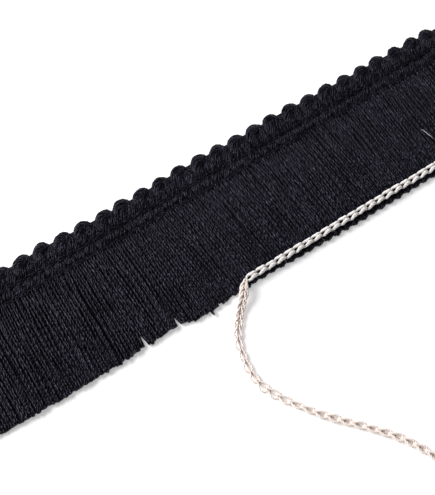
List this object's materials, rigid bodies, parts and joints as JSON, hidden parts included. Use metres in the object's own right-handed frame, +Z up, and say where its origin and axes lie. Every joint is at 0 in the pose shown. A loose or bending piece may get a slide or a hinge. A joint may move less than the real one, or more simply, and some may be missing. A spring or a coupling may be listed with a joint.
{
  "type": "brush fringe trim",
  "caption": "Cut length of dark brush fringe with a scalloped knitted gimp heading and a pale pull-out chain stitch near the cut ends, partly pulled off.",
  "frame": {"origin": "middle of the trim, on the surface it lies on, measured without the loose chain tail", "axes": "+X along the trim, +Y across it from the cut ends to the scallops, +Z up"},
  "size_m": [0.1712, 0.1016, 0.0035],
  "materials": {
    "gimp_cord": "black spun gimp cord, knitted into a braid, matt with a faint silky sheen",
    "fringe_yarn": "black two-ply twisted yarn with fine grey glints along the fibres",
    "chain_thread": "pale cream multi-filament thread, silky to slightly metallic sheen"
  },
  "bodies": {
    "root": {"heading": "gimp_cord", "fringe": "fringe_yarn", "chain_stitched": "chain_thread", "chain_tail": "chain_thread"}
  },
  "joints": []
}
